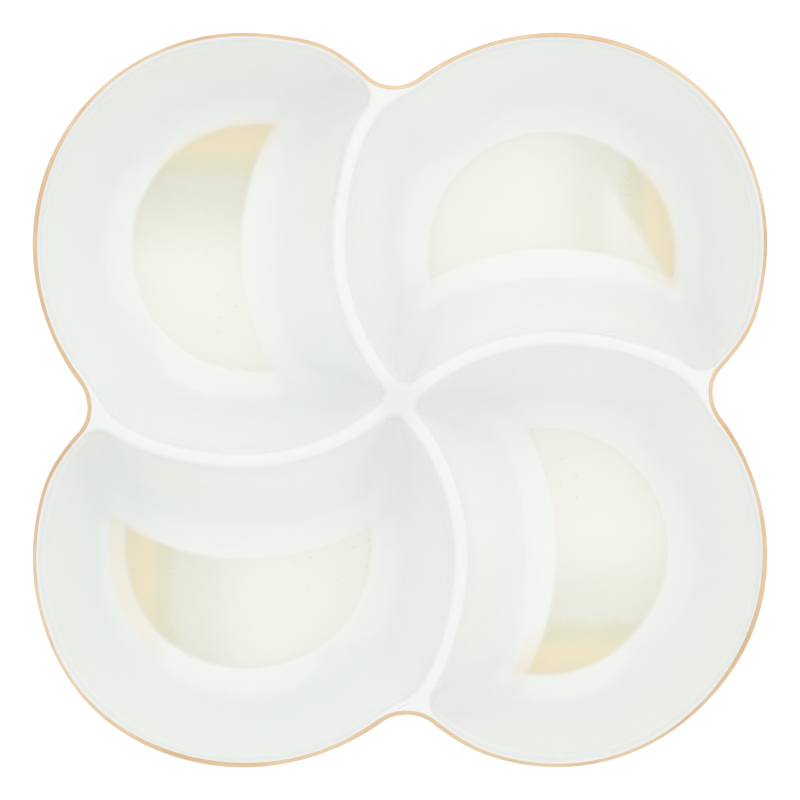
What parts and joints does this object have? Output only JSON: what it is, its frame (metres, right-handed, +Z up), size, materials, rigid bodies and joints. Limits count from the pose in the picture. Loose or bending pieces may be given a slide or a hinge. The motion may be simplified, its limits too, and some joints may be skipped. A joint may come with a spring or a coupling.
{
  "type": "divided serving bowl",
  "caption": "Shallow glazed porcelain serving bowl with a lobed outline, curved dividers that form crescent compartments in a pinwheel, flat floors and a gilded rim.",
  "frame": {"origin": "on the standing plane, under the centre of the dish", "axes": "+Z up out of the compartments, +Y to the rear, which is the top of the picture, and +X to the right in it"},
  "size_m": [0.2502, 0.2502, 0.0422],
  "materials": {
    "porcelain": "glossy clear glaze over white porcelain, very slightly green",
    "gilding": "thin brushed-on bright gold, worn pale in places",
    "biscuit": "unglazed ground porcelain",
    "wash": "overglaze colour shaded from tan through olive to cream"
  },
  "bodies": {
    "root": {"bowl_rear_right": "porcelain", "bowl_rear_left": "porcelain", "bowl_front_left": "porcelain", "bowl_front_right": "porcelain", "rim_rear_right": "porcelain", "rim_rear_left": "porcelain", "rim_front_left": "porcelain", "rim_front_right": "porcelain", "divider_right": "porcelain", "divider_rear": "porcelain", "divider_left": "porcelain", "divider_front": "porcelain", "web_right": "porcelain", "web_rear": "porcelain", "web_left": "porcelain", "web_front": "porcelain", "centre_hub": "porcelain", "rim_gilding": "gilding", "foot_rear_right": "biscuit", "foot_rear_left": "biscuit", "foot_front_left": "biscuit", "foot_front_right": "biscuit", "wash_rear_right": "wash", "wash_rear_left": "wash", "wash_front_left": "wash", "wash_front_right": "wash"}
  },
  "joints": []
}
